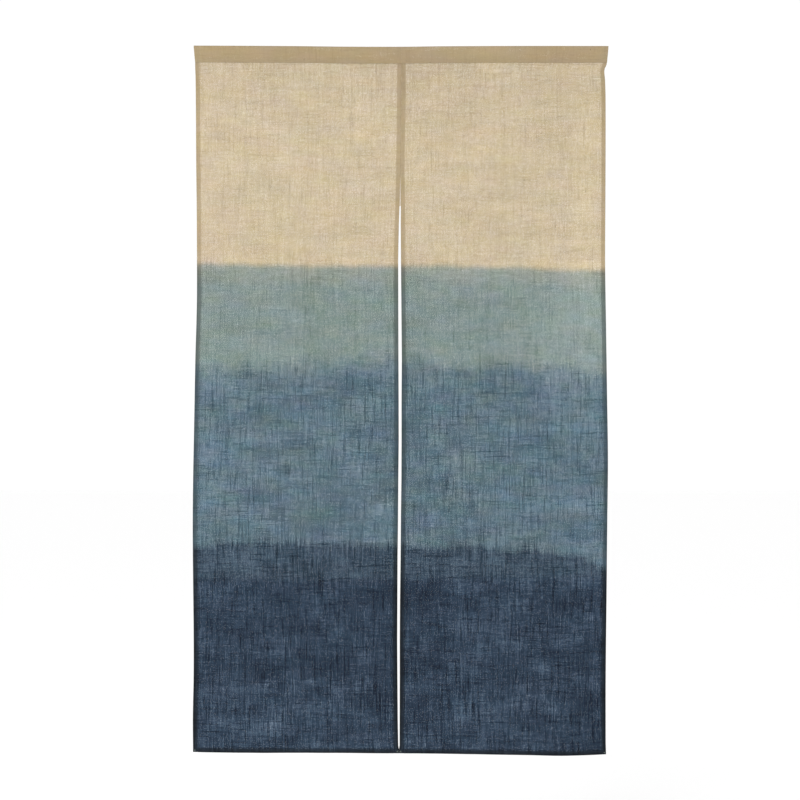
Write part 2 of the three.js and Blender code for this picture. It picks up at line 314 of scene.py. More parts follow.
def double_hem(width, layer, steps=5):
    """Section of a hem turned under twice, from its raw edge to where the field begins.

    Returns how far in from the outer fold each point lies, and how deep behind the face of the cloth:
    half a layer for the face, one and a half for the turned-under ply and two and a half for the back.
    """
    inner_in, inner_deep = half_turn(width - layer / 2, 2 * layer, layer / 2, -90, steps)
    outer_in, outer_deep = half_turn(layer, 1.5 * layer, layer, 90, steps + 2)
    hidden = np.linspace(width - TURNED_UNDER, width - layer / 2, 4)[:-1]
    back = np.linspace(width - layer / 2, layer, 6)[1:-1]
    face = np.linspace(layer, width, 6)[1:]
    inward = np.concatenate([hidden, inner_in, back, outer_in, face])
    hidden, back, face = hidden * 0 + 1.5 * layer, back * 0 + 2.5 * layer, face * 0 + layer / 2
    return inward, np.concatenate([hidden, inner_deep, back, outer_deep, face])


def pressed_seam(width, layer, steps=5):
    """Section of a seam allowance pressed open behind the cloth, from its raw edge to the field."""
    turn_in, turn_deep = half_turn(layer / 2, layer, layer / 2, 90, steps)
    hidden = np.linspace(width, layer / 2, 6)[:-1]
    face = np.linspace(layer / 2, width, 6)[1:]
    inward = np.concatenate([hidden, turn_in, face])
    return inward, np.concatenate([hidden * 0 + 1.5 * layer, turn_deep, face * 0 + layer / 2])


def across_cloth(left, right, left_width, right_width, flat_width, step):
    """Columns of a strip that has a folded edge at each side.

    Returns for each column its share of the way across the field, its shift from there, its depth
    behind the face, and its flat coordinate, which is the length of cloth from the left raw edge.
    """
    field = flat_width - left_width - right_width
    share = np.linspace(0, 1, int(field / step) + 1)[1:-1]
    shares = np.concatenate([left[0] * 0, share, right[0] * 0 + 1])
    shift = np.concatenate([left[0] - left_width, share * 0, (right_width - right[0])[::-1]])
    layer_depth = left[1][-1]
    depth = np.concatenate([left[1], share * 0 + layer_depth, right[1][::-1]])
    place = shares * field + shift
    flat = np.concatenate([[0], np.cumsum(np.hypot(np.diff(place), np.diff(depth)))])
    return shares, shift, depth, flat


hem_section = double_hem(SIDE_HEM, LAYER)
print("points across one side hem:", len(hem_section[0]), "and its thickness", 3 * LAYER, "mm")

# %% [markdown]
# ## A panel
# The panel is one grid. Its columns carry the side hems' section, and its rows carry the bottom hem's,
# in which the whole stack of side layers turns together: a point that lies deep in the stack turns on a
# smaller circle. That makes the thick square corners that a real hem has.

# %% Build a panel
STACK_FADES = 2.5
HEM_FADES = 0.8
RAW_EDGE_CLEAR = 1.6


def down_cloth(stack, depth, step):
    """Rows of a panel, for every column at once.

    stack is how thick the column's pressed layers are, and depth how deep in them its cloth lies.
    The face runs down to the fold, turns round it at one and a half stacks less its depth, climbs the
    back, turns in at one stack less its depth, and ends between the two, clear of the fold. Returns the
    depth below the top edge and behind the face for each row and column, and the flat coordinate of
    each row.
    """
    tuck, hem_top = HEADING_HEIGHT - GRIP, DROP - BOTTOM_HEM
    face = np.linspace(tuck, hem_top, int((hem_top - tuck) / step) + 1)[:, None] + stack * 0
    t = np.linspace(0, 1, 5)[1:, None]
    fold_at, back_top = DROP - 1.5 * stack, hem_top + stack
    face_end = hem_top + t * (fold_at - hem_top)
    turn = np.linspace(0, math.pi, 9)[1:, None]
    below = [face, face_end, fold_at + (1.5 * stack - depth) * np.sin(turn)]
    behind = [face * 0 + depth, face_end * 0 + depth, 1.5 * stack - (1.5 * stack - depth) * np.cos(turn)]
    climb = fold_at + t * (back_top - fold_at)
    below += [climb, back_top - (stack - depth) * np.sin(turn)]
    behind += [climb * 0 + 3 * stack - depth, 2 * stack + (stack - depth) * np.cos(turn)]
    inside = back_top + t * (hem_top + TURNED_UNDER - RAW_EDGE_CLEAR * stack - back_top)
    below.append(inside)
    behind.append(inside * 0 + stack + depth)
    below, behind = np.concatenate(below), np.concatenate(behind)
    middle = below.shape[1] // 2
    lengths = np.hypot(np.diff(below[:, middle]), np.diff(behind[:, middle]))
    return below, behind, np.concatenate([[0], np.cumsum(lengths)])


def hem_share(inward, width):
    """Painted shade of a hem's stacked layers: all of it at the fold, half at its inner edge, none beyond.
    """
    inside = np.clip((width + HEM_FADES - inward) / HEM_FADES, 0, 1)
    return np.clip(1 - 0.5 * inward / width, 0, 1) * inside


def panel_grid(left_of, right_of, flat_from):
    """Grid of one panel between its two edges, which are functions of depth.

    Across, a point goes from the left edge to the right by its column's share and shift. Its depth behind
    the face is the hem section's, plus the folds and the cockling at that place. The side layers' stack
    thins out beside the hem by a bell.
    """
    width = float(right_of(DROP / 2) - left_of(DROP / 2))
    columns = across_cloth(hem_section, hem_section, SIDE_HEM, SIDE_HEM, width, GRID_STEP)
    shares, shift, depth, flat = columns
    from_edge = np.minimum(shares, 1 - shares) * (width - 2 * SIDE_HEM)
    in_hem = np.where(from_edge > 0, np.exp(-((from_edge / STACK_FADES) ** 2)), 1.0)
    stack = LAYER * (1 + 2 * in_hem)
    below, behind, down = down_cloth(stack, depth, GRID_STEP)
    left, right = left_of(below), right_of(below)
    x = left + SIDE_HEM + shares * (right - left - 2 * SIDE_HEM) + shift
    y = FACE_AT + behind + hang_depth(x, below) + cockling(x, below)
    point = np.stack([x, y, height_of(x, below)], axis=-1)
    flats = np.stack(np.broadcast_arrays(flat_from + flat[None, :], -down[:, None]), axis=-1)
    side_hem = hem_share(np.minimum(x - left, right - x), SIDE_HEM)
    return point, flats, below, np.maximum(side_hem, hem_share(DROP - below, BOTTOM_HEM))


# Where on the long cloth the right panel is cut, so that its threads are not the left panel's again.
RIGHT_CLOTH_FROM = 700.0
# For each panel: its left edge, its right edge, and where on the long cloth it is cut.
panel_edges = {
    "left": (left_edge, lambda below: meeting_edge(below, -1), 0.0),
    "right": (lambda below: meeting_edge(below, 1), right_edge, RIGHT_CLOTH_FROM),
}
panels = {}
for side, edges in panel_edges.items():
    panels[side] = cloth_object(f"linen_panel_{side}", [panel_grid(*edges)])

# %% [markdown]
# ## The heading
# The heading is a strip folded over front to back. Its lower edges are turned in and grip the panels,
# and the room between its walls is the rod pocket. It is pieced at the middle, with the seam pressed
# open, and its ends are hemmed. Its section is carried from end to end, as a profile along a path.

# %% Section of the heading
LEG_TURN = 0.3
FRONT_LEG, BACK_LEG = -1.45, 1.9
LEG_FOOT = -35.0 + LEG_TURN
RAW_EDGE = -HEADING_HEIGHT + GRIP - 1.5
HEADING_LAYER = 0.3
LEG_PRESSED = 0.35
OPENS_OVER = 6.0
WALL_POINTS = 60
# Where on the long cloth the heading's two lengths are cut.
HEADING_CLOTH_FROM, LENGTHS_APART = 1400.0, 600.0
# Columns: depth from front to back, height. The wall of the pocket, over the top.
POCKET = np.array([
    (FRONT_LEG, -29.0), (FRONT_LEG - 0.05, -27.0), (-2.9, -22.0), (-3.4, -13.0), (-2.8, -4.2), (0.3, 0.55),
    (3.8, -3.1), (5.5, -10.0), (5.3, -19.0), (BACK_LEG + 0.05, -27.0), (BACK_LEG, -29.0),
])


def heading_section():
    """The heading's section as (depth, height) points, and how open its layers lie at each of them.

    It runs down the front leg's turned-in edge, round the turn, up the front, over the pocket by a
    smooth curve, down the back, round the back leg's turn and up its turned-in edge. The turns are half
    circles.
    """
    chord = np.concatenate([[0], np.cumsum(np.hypot(*np.diff(POCKET, axis=0).T))])
    along = np.linspace(0, chord[-1], WALL_POINTS)
    wall = [curve_through(np.column_stack([chord, POCKET[:, k]]), along) for k in (0, 1)]
    t = np.linspace(0, 1, 6)[:, None]
    front_turn = half_turn(FRONT_LEG + LEG_TURN, LEG_FOOT, LEG_TURN, 0, 7)
    back_turn = half_turn(BACK_LEG - LEG_TURN, LEG_FOOT, LEG_TURN, 0, 7)
    front_in = np.array([front_turn[0][0], RAW_EDGE]) * (1 - t) + np.array([front_turn[0][0], LEG_FOOT]) * t
    back_in = np.array([back_turn[0][-1], LEG_FOOT]) * (1 - t) + np.array([back_turn[0][-1], RAW_EDGE]) * t
    front_leg = np.array([FRONT_LEG, LEG_FOOT]) * (1 - t) + POCKET[0] * t
    back_leg = POCKET[-1] * (1 - t) + np.array([BACK_LEG, LEG_FOOT]) * t
    front_turn = np.column_stack([front_turn[0], 2 * LEG_FOOT - front_turn[1]])
    back_turn = np.column_stack([back_turn[0], 2 * LEG_FOOT - back_turn[1]])
    front, back = [front_in[:-1], front_turn, front_leg[1:-1]], [back_leg[1:-1], back_turn, back_in[1:]]
    section = np.concatenate([*front, np.column_stack(wall), *back])
    open_share = np.clip((section[:, 1] + HEADING_HEIGHT - GRIP) / OPENS_OVER, LEG_PRESSED, 1)
    return section, open_share


def heading_grid(side):
    """One length of the heading: its section carried from its hemmed end to the seam at the middle."""
    section, open_share = heading_section()
    step = np.gradient(section, axis=0)
    length = np.hypot(step[:, 0], step[:, 1])
    outward = np.column_stack([-step[:, 1], step[:, 0]]) / length[:, None]
    down = np.concatenate([[0], np.cumsum(np.hypot(*np.diff(section, axis=0).T))])
    end, seam = double_hem(SIDE_HEM, HEADING_LAYER), pressed_seam(SIDE_HEM, HEADING_LAYER)
    left, right = (end, seam) if side < 0 else (seam, end)
    shares, shift, depth, flat = across_cloth(left, right, SIDE_HEM, SIDE_HEM, HALF_WIDTH, GRID_STEP)
    end_at = side * (HALF_WIDTH - HEADING_TAPER * -section[:, 1:] / HEADING_HEIGHT)
    seam_at = meeting_edge(0.0, side)
    near, far = (end_at, seam_at) if side < 0 else (seam_at, end_at)
    x = near + SIDE_HEM + shares * (far - near - 2 * SIDE_HEM) + shift
    into = depth[None, :] * open_share[:, None]
    y = section[:, :1] - outward[:, :1] * into
    z = section[:, 1:] - outward[:, 1:] * into + curve_through(TOP_EDGE, x)
    flat_from = HEADING_CLOTH_FROM + LENGTHS_APART * (side > 0)
    flats = np.stack(np.broadcast_arrays(flat_from + flat[None, :], down[:, None]), axis=-1)
    # The heading's hem share is 1 all over, so it is painted in the darker hem tones: painted shade of its
    # layers.
    return np.stack([x, y, z], axis=-1), flats, -section[:, 1:] + x * 0, 1.0


heading = cloth_object("linen_heading", [heading_grid(-1), heading_grid(1)])
section_length = float(np.hypot(*np.diff(heading_section()[0], axis=0).T).sum())

# %% [markdown]
# ## Sewing
# A line of machine stitches is a row of short threads that rise out of the cloth and dive back into it.
# Each thread is a small arched tube with closed ends. All the stitches of a seam are worked out in one
# go: starts, ends and the outward direction are arrays, and the rings of every tube come from one formula.

# %% Threads
THREAD = 0.24
STITCH = 2.9
STITCH_GAP = 0.6
STITCH_STRAYS = 0.08
RINGS = np.linspace(-1, 1, 5)
RING_SIDES = 5
ARCH = 0.7
NARROWS = 0.45


def arched_threads(start, end, out, radius=THREAD, sink=0.35):
    """Closed arched tubes from each start to each end, in mm.

    A ring's middle goes straight from start to end. Half way it stands out by ARCH of the radius, and by
    a fourth power it dips below the cloth by sink at both ends. There its radius is less by the share
    NARROWS.
    """
    along = end - start
    along = along / np.linalg.norm(along, axis=-1, keepdims=True)
    side = np.cross(along, out)
    side = side / np.linalg.norm(side, axis=-1, keepdims=True)
    share = (RINGS[None, :, None] + 1) / 2
    middle = start[:, None, :] * (1 - share) + end[:, None, :] * share
    lift = radius * ARCH - (sink + radius * ARCH) * RINGS**4
    middle = middle + out[:, None, :] * lift[None, :, None]
    turn = np.linspace(0, 2 * math.pi, RING_SIDES, endpoint=False)
    size = radius * (1 - NARROWS * RINGS**4)[None, :, None, None]
    turn = turn[None, None, :, None]
    ring = side[:, None, None, :] * np.cos(turn) + out[:, None, None, :] * np.sin(turn)
    return middle[:, :, None, :] + ring * size


def thread_object(name, tubes):
    """One mesh of closed tubes from an array of rings: (threads, rings, sides, 3).

    Each wall face joins two corners of a ring to the same two of the next, and each end ring is a cap.
    """
    count, rings, sides, _ = tubes.shape
    corner = np.arange(count * rings * sides).reshape(count, rings, sides)
    following = np.roll(corner, -1, axis=2)
    walls = np.stack([corner[:, :-1], following[:, :-1], following[:, 1:], corner[:, 1:]], axis=-1)
    caps = np.concatenate([corner[:, 0, ::-1], corner[:, -1]])
    piece = mesh_object(name, tubes.reshape(-1, 3), walls.reshape(-1, 4).tolist() + caps.tolist())
    print(f"{name}: {count} stitches")
    return piece


def stitch_line(path, out):
    """Stitches along a path of points, with their threads on the side that out points to.

    They start a stitch apart, each a little early or late, and end one gap before the next.
    """
    length = np.concatenate([[0], np.cumsum(np.linalg.norm(np.diff(path, axis=0), axis=1))])
    starts = np.arange(STITCH_GAP, length[-1] - STITCH, STITCH)
    starts = starts + seeded.normal(0, STITCH_STRAYS, len(starts))

    def at(distance):
        """The path's point at a distance along it."""
        return np.column_stack([np.interp(distance, length, path[:, k]) for k in range(3)])

    return arched_threads(at(starts), at(starts + STITCH - STITCH_GAP), np.tile(out, (len(starts), 1)))


FRONT, BACK = np.array([0.0, -1.0, 0.0]), np.array([0.0, 1.0, 0.0])
print("stitch length", STITCH, "mm")

# %% [markdown]
# ## Hem seams
# The seam runs two millimetres inside each hem's inner edge, through all the layers, so its threads
# show on the face and on the back. The path is read from the same functions as the cloth, so the
# stitches sit on it.

# %% Sew the hems
STITCHED_AT = SIDE_HEM - 2.0
SEAM_STARTS, SEAM_ENDS = 1.0, 1.5
SEAM_POINTS = 700


def on_face(x, below):
    """A point on the middle of the cloth's face layer."""
    y = FACE_AT + LAYER / 2 + hang_depth(x, below) + cockling(x, below)
    return np.column_stack([x, y, height_of(x, below)])


def panel_sewing(left_of, right_of):
    """All the hem stitches of one panel, front and back.

    A side's line starts just below the heading and ends just inside the bottom hem. The bottom's line
    goes straight from the left side's to the right side's.
    """
    down = np.linspace(HEADING_HEIGHT + SEAM_STARTS, DROP - BOTTOM_HEM + SEAM_ENDS, SEAM_POINTS)
    t = np.linspace(0, 1, SEAM_POINTS)
    hem_below = np.full(SEAM_POINTS, DROP - STITCHED_AT)
    left, right = left_of(hem_below) + STITCHED_AT, right_of(hem_below) - STITCHED_AT
    paths = [
        on_face(left_of(down) + STITCHED_AT, down),
        on_face(right_of(down) - STITCHED_AT, down),
        on_face(left * (1 - t) + right * t, hem_below),
    ]
    tubes = []
    for path in paths:
        tubes.append(stitch_line(path, FRONT))
        tubes.append(stitch_line(path + BACK * 2 * LAYER, BACK))
    return np.concatenate(tubes)


sewing = {
    side: thread_object(f"sewing_{side}", panel_sewing(*edges[:2]))
    for side, edges in panel_edges.items()
}

# %% [markdown]
# ## The heading's seam
# One line of stitches holds the heading's two legs and the panels' tops between them. It runs a little
# above the legs' lower edges, in front and behind, over the whole width.

# %% Sew the heading
HEADING_SEAM = HEADING_HEIGHT - GRIP + 2.5
SEAM_FROM_END = 5.0
seam_x = np.linspace(-HALF_WIDTH + SEAM_FROM_END, HALF_WIDTH - SEAM_FROM_END, 2 * SEAM_POINTS)
seam_z = curve_through(TOP_EDGE, seam_x) - HEADING_SEAM
front_seam = np.column_stack([seam_x, seam_x * 0 + FRONT_LEG, seam_z])
back_seam = np.column_stack([seam_x, seam_x * 0 + BACK_LEG, seam_z])
heading_tubes = np.concatenate([stitch_line(front_seam, FRONT), stitch_line(back_seam, BACK)])
sewing["heading"] = thread_object("sewing_heading", heading_tubes)

# %% [markdown]
# ## The joining seam
# The two hemmed edges meet edge to edge from the heading down, and small slanting stitches draw them
# together. Towards the slit the edges part a little before they come free, and there closer stitches
# bridge the gap. A short bar of stitches at the end keeps the seam from tearing open.

# %% Join the panels
SLIT_TOP = 337.0
PARTING_TOP = 277.0
CLOSED_STEP, PARTING_STEP, BAR_STEP = 3.4, 1.05, 0.45
# Columns: how far the stitches reach past each edge, how far they slant, their thread's radius; a row
# each for the closed meeting, the parting and the bar.
JOINING = ((1.1, 1.2, 0.2), (0.9, 0.5, 0.36), (1.6, 0.0, 0.3))


def across_meeting(below, reach, slant):
    """Starts and ends of stitches across the meeting: reach past each edge, dropping by slant."""
    left, right = meeting_edge(below, -1) - reach, meeting_edge(below, 1) + reach
    return on_face(left, below - slant / 2), on_face(right, below + slant / 2)


def joining_tubes():
    """Slanting stitches down the closed meeting, closer ones over the parting, and the bar at its end."""
    closed = np.arange(HEADING_HEIGHT + 2, PARTING_TOP, CLOSED_STEP)
    parting = np.arange(PARTING_TOP, SLIT_TOP - 1, PARTING_STEP)
    bar = SLIT_TOP + BAR_STEP * np.array([-2, -1, 0])
    rows = []
    for below, (reach, slant, radius) in zip((closed, parting, bar), JOINING):
        start, end = across_meeting(below, reach, slant)
        for out, shift in ((FRONT, 0.0), (BACK, 2 * LAYER)):
            directions = np.tile(out, (len(below), 1))
            rows.append(arched_threads(start + BACK * shift, end + BACK * shift, directions, radius))
    return np.concatenate(rows)


joining = thread_object("joining_stitches", joining_tubes())

# %% [markdown]
# ## Corner tacks
# Each bottom corner is held by a few stitches of paler thread, sewn back and forth over the thick
# layers. They are the small light marks at the four corners.

# %% Tack the corners
TACK_LENGTH = 4.2
TACK_STEP = 0.55
TACK_COUNT = 5
TACK_RADIUS = 0.3
TACK_SLANT = 0.3
TACK_STRAYS = 0.3
TACK_LOWEST = 3.0
TACK_MIDDLE = 4.0
CORNER_PLIES = 9
TACK_FROM_EDGE = 1.2


def corner_tacks():
    """Short level stitches stacked at the four bottom corners, on the face and on the back."""
    rows = []
    low = np.full(1, DROP - TACK_MIDDLE)
    edges = (left_edge(low), meeting_edge(low, -1), meeting_edge(low, 1), right_edge(low))
    for edge, inward in zip(edges, (1, -1, 1, -1)):
        below = DROP - TACK_LOWEST - TACK_STEP * np.arange(TACK_COUNT)
        outer = edge + inward * (TACK_FROM_EDGE + TACK_STRAYS * seeded.uniform(-1, 1, TACK_COUNT))
        inner = outer + inward * TACK_LENGTH
        for out, shift in ((FRONT, 0.0), (BACK, (CORNER_PLIES - 1) * LAYER)):
            start, end = on_face(outer, below), on_face(inner, below - TACK_SLANT)
            directions = np.tile(out, (TACK_COUNT, 1))
            rows.append(arched_threads(start + BACK * shift, end + BACK * shift, directions, TACK_RADIUS))
    return np.concatenate(rows)


tacks = thread_object("corner_tacks", corner_tacks())

# %% [markdown]
# ## Nodes by the handful
# Materials here are formulas over the cloth's flat coordinates: a painted picture would show one stretch
# of cloth again and again, but a formula lets every thread be thick or thin in its own places. A few
# short helpers keep the formulas readable. One adds a node and links or sets its inputs, and the others
# write a step of arithmetic, a noise, a weighted sum or a mix.

# %% Helpers for materials
def add_node(tree, kind, settings=None, inputs=None):
    """Adds a node, sets its properties, and links or sets each named input."""
    made = tree.nodes.new(kind)
    for key, value in (settings or {}).items():
        setattr(made, key, value)
    for key, value in (inputs or {}).items():
        if isinstance(value, bpy.types.NodeSocket):
            tree.links.new(value, made.inputs[key])
        else:
            made.inputs[key].default_value = value
    return made


def work_out(tree, operation, *values):
    """One step of arithmetic on numbers or sockets."""
    return add_node(tree, "ShaderNodeMath", {"operation": operation}, dict(enumerate(values))).outputs[0]


def weighted_sum(tree, terms):
    """Adds up sockets, each times its weight."""
    total = 0.0
    for socket, weight in terms:
        total = work_out(tree, "MULTIPLY_ADD", socket, weight, total)
    return total


def vector(tree, x, y, z=0.0):
    """Three numbers or sockets as one place, or as one set of gains."""
    return add_node(tree, "ShaderNodeCombineXYZ", None, {"X": x, "Y": y, "Z": z}).outputs[0]


def mixed(tree, share, first, second, colours=False):
    """Goes from the first value to the second as share goes from 0 to 1: numbers, or colours."""
    first_at, second_at, result_at = (6, 7, 2) if colours else (2, 3, 0)
    settings = {"data_type": "RGBA" if colours else "FLOAT"}
    inputs = {0: share, first_at: first, second_at: second}
    return add_node(tree, "ShaderNodeMix", settings, inputs).outputs[result_at]


def noise_at(tree, x, y, z, detail):
    """Smooth noise at a place given by sockets or numbers: twice the node's value less one."""
    inputs = {"Scale": 1.0, "Detail": detail, "Roughness": 0.5, "Vector": vector(tree, x, y, z)}
    made = add_node(tree, "ShaderNodeTexNoise", {"noise_dimensions": "3D"}, inputs)
    return work_out(tree, "MULTIPLY_ADD", made.outputs["Fac"], 2.0, -1.0)


def noise_over(tree, flat, size, seed, detail=0.0):
    """Smooth noise over the flat cloth: its place is divided by the waves' width and height in size."""
    x, y = (work_out(tree, "DIVIDE", place, length) for place, length in zip(flat, size))
    return noise_at(tree, x, y, seed, detail)


def stored(tree, attribute):
    """A value that the mesh keeps at its points."""
    return add_node(tree, "ShaderNodeAttribute", {"attribute_name": attribute}).outputs["Fac"]


def eased(tree, socket, start, end):
    """0 up to start, 1 from end on, and a smooth step between them."""
    inputs = {"Value": socket, "From Min": start, "From Max": end}
    return add_node(tree, "ShaderNodeMapRange", {"interpolation_type": "SMOOTHSTEP"}, inputs).outputs[0]


def new_material(name):
    """An empty material with its output node."""
    material = bpy.data.materials.new(name)
    material.use_nodes = True
    material.node_tree.nodes.clear()
    output = material.node_tree.nodes.new("ShaderNodeOutputMaterial")
    return material, material.node_tree, output


print("helpers for materials are ready")

# %% [markdown]
# ## Uneven yarn
# Linen yarn is never even. Thick places run along it for a few centimetres, short nubs lie between them,
# and a thread never lies quite straight. In the flat cloth each thread has a number, its place divided by
# the pitch, and it reads its own row of a smooth noise. The rows of the thick places lie close together,
# so that neighbouring threads share them and make streaks a few threads wide.

# %% Threads and how thick they are
THREAD_PITCH = 1.0
# Columns: width and height of the waves in millimetres, seed, by how many threads they shift the weave.
WARP_STRAYS = ((40, 150, 3.5, 0.8), (6, 45, 27.5, 0.5))
WEFT_STRAYS = ((150, 40, 9.5, 0.8), (45, 6, 31.5, 0.5))
# Rows: thick places, slow slubs, short nubs. Columns: length along the thread in millimetres, seed.
WARP_YARN = ((52.0, 11.5), (46.0, 1.5), (4.5, 37.5))
WEFT_YARN = ((38.0, 17.5), (26.0, 5.5), (4.5, 43.5))
KINSHIP = 0.53
LOTS_APART = 173.0
YARN_DETAIL = 2.0
THICK_FROM = 0.08
THICK_MEAN = 0.082


def thread_number(tree, flat, direction, strays):
    """Place across the threads, in threads: the flat place divided by the pitch, plus the strays' waves."""
    waves = [(noise_over(tree, flat, size, seed), shift) for *size, seed, shift in strays]
    return weighted_sum(tree, ((flat[direction], 1 / THREAD_PITCH), *waves))


def unevenness(tree, thread, along, length, seed, kinship=0.0):
    """Thick and thin places of numbered threads: each thread reads its own row of a smooth noise.

    The row is drawn by lot. Where kinship is given, it is instead the thread's number times kinship, so
    that neighbouring threads are thick in neighbouring places.
    """
    number = work_out(tree, "FLOOR", thread)
    if kinship:
        row = work_out(tree, "MULTIPLY", number, kinship)
    else:
        inputs = {"W": work_out(tree, "ADD", number, seed)}
        lot = add_node(tree, "ShaderNodeTexWhiteNoise", {"noise_dimensions": "1D"}, inputs).outputs["Value"]
        row = work_out(tree, "MULTIPLY", lot, LOTS_APART)
    return noise_at(tree, row, work_out(tree, "DIVIDE", along, length), seed, YARN_DETAIL)


def yarn(tree, thread, along, thick, slub, nub):
    """How thick one direction's threads are, as three sockets: thick places, slow slubs and short nubs.

    A thick place is what its noise rises above THICK_FROM, less THICK_MEAN, which makes it 0 on average.
    """
    above = work_out(tree, "SUBTRACT", unevenness(tree, thread, along, *thick, KINSHIP), THICK_FROM)
    thick_place = work_out(tree, "SUBTRACT", work_out(tree, "MAXIMUM", above, 0.0), THICK_MEAN)
    return thick_place, unevenness(tree, thread, along, *slub), unevenness(tree, thread, along, *nub)


print("threads per centimetre:", 10 / THREAD_PITCH)

# %% [markdown]
# ## Plain weave
# In plain weave every thread goes over one thread and under the next. The product of the two threads'
# sines is above zero on one half of the crossings and below zero on the other, like the fields of a
# chessboard, and that says which thread lies on top. What lies on top gives most of the colour, and the
# thread under it shows through a little, as it does in sheer cloth.

# %% Over and under
def from_middle(tree, thread):
    """Distance from the middle of a thread, in threads: its fraction less one half, without the sign."""
    return work_out(tree, "ABSOLUTE", work_out(tree, "SUBTRACT", work_out(tree, "FRACT", thread), 0.5))


def plain_weave(tree, warp, weft):
    """The weave's relief, and how strongly the warp and the weft show.

    A thread's height is the cosine of the distance from its middle, times how far it is on top: one half
    plus half the product of the sines for the warp, and one half less it for the weft. The relief is the
    greater height. The thread on top shows one and a half times, and the one under it half.
    """
    sines = [work_out(tree, "SINE", work_out(tree, "MULTIPLY", thread, math.pi)) for thread in (warp, weft)]
    over_under = work_out(tree, "MULTIPLY", *sines)
    heights = []
    for thread, sign in ((warp, 0.5), (weft, -0.5)):
        aside = work_out(tree, "MULTIPLY", from_middle(tree, thread), math.pi)
        on_top = work_out(tree, "MULTIPLY_ADD", over_under, sign, 0.5)
        heights.append(work_out(tree, "MULTIPLY", work_out(tree, "COSINE", aside), on_top))
    warp_shows = work_out(tree, "ADD", work_out(tree, "GREATER_THAN", *heights), 0.5)
    return work_out(tree, "MAXIMUM", *heights), warp_shows, work_out(tree, "SUBTRACT", 2.0, warp_shows)


print("the thread on top shows 1.5 times, the one under it 0.5 times")

# %% [markdown]
# ## Dipped three times
# Each dip reaches up to a line, and the cloth below it takes the next tone. Dye climbs some threads
# further than others, so a line wanders slowly and has a fringe of single threads. Part of the dye only
# comes in further down, which makes the shore below a line lighter than the full tone.

# %% Lines of the dye
# Columns: how soft each dye line is, how far its slow waves and its single threads stray, in millimetres;
# then the share of dye that only comes in later, the line it comes in by, and from and to where past it.
DYE_EDGES = (
    (9.0, 2.0, 1.5, 0.20, 1, -5.0, 55.0),
    (18.0, 8.0, 5.0, 0.22, 2, 0.0, 45.0),
    (11.0, 5.0, 7.0, 0.14, 4, -8.0, 14.0),
)
LINE_WAVES = (38, 60)
LINE_SEED = 3.7


def dye_shares(tree, flat, slub, nub):
    """How far each dip's dye has come in, from 0 to 1.

    The way past a line, plus its wave and its threads' strays, is eased from minus to plus its softness.
    The dye's late share is multiplied by a second easing, further down.
    """
    shares = []
    for number, (soft, slow, single, late, late_line, late_from, late_to) in enumerate(DYE_EDGES, start=1):
        wave = noise_over(tree, flat, LINE_WAVES, number * LINE_SEED, 1.0)
        past = stored(tree, f"past_line_{number}")
        strays = ((past, 1 / MM), (wave, 2 * slow), (slub, 2 * single), (nub, single))
        soon = eased(tree, weighted_sum(tree, strays), -soft, soft)
        later = eased(tree, stored(tree, f"past_line_{late_line}"), late_from * MM, late_to * MM)
        both = work_out(tree, "MULTIPLY", soon, later)
        shares.append(weighted_sum(tree, ((soon, 1 - late), (both, late))))
    return shares


def by_tone(tree, shares, values):
    """A number or colour that goes through one value for each tone as the shares of dye come in."""
    result = values[0]
    for share, value in zip(shares, values[1:]):
        result = mixed(tree, share, result, value, colours=isinstance(value, tuple))
    return result


print("dips:", len(DYE_EDGES))

# %% [markdown]
# ## How deep the dye is, with painted shade
# A thick thread holds more dye than a thin one, and the streaks come from that. They count more in the
# darker tones, less in the pressed hems, and more in some stretches of the cloth than in others. The
# sides of the threads are painted darker where they lie in each other's shade: painted shade. Here and
# there a fleck of stalk is spun into the yarn.

# %% Depth of the dye
# A row each for undyed and dyed cloth. Columns: gain of the thick places, of the slow slubs, of the nubs.
WARP_GAINS = ((3.0, 0.7, 1.0), (3.5, 1.0, 0.65))
WEFT_GAINS = ((2.4, 0.6, 1.0), (2.4, 0.6, 0.65))
# One value for each tone, from undyed to navy.
STREAK_STRENGTH = (0.162, 0.148, 0.262, 0.325)
# Columns: width and height of the waves in millimetres, seed, gain.
PATCHES = ((85, 40), 4.5, 0.65)
LIVELY = ((75, 90), 21.5, 0.3)
HEM_CALM = 0.5
# The first value darkens the colour where the weave's relief is low, as painted shade between the threads;
# the second is the relief's mean.
PAINTED_WEAVE_SHADE, WEAVE_MEAN = 0.12, 0.52
FLECK_LENGTH, FLECKS_FROM, FLECK_DEPTH = 3.0, 0.9998, 0.9


def flecks(tree, warp, down):
    """1 on the few bits of warp that hold a fleck: each bit draws a lot, and the highest lots hold one."""
    bit = work_out(tree, "FLOOR", work_out(tree, "DIVIDE", down, FLECK_LENGTH))
    inputs = {"Vector": vector(tree, work_out(tree, "FLOOR", warp), bit)}
    lot = add_node(tree, "ShaderNodeTexWhiteNoise", {"noise_dimensions": "2D"}, inputs).outputs["Value"]
    return work_out(tree, "GREATER_THAN", lot, FLECKS_FROM)


def streak_strength(tree, flat, shares, hem):
    """The tone's strength, times one plus the lively waves, times one less the hem's calm."""
    size, seed, gain = LIVELY
    lively = work_out(tree, "MULTIPLY_ADD", noise_over(tree, flat, size, seed, 1.0), gain, 1.0)
    lively = work_out(tree, "MULTIPLY", lively, work_out(tree, "MULTIPLY_ADD", hem, -HEM_CALM, 1.0))
    return work_out(tree, "MULTIPLY", by_tone(tree, shares, STREAK_STRENGTH), lively)


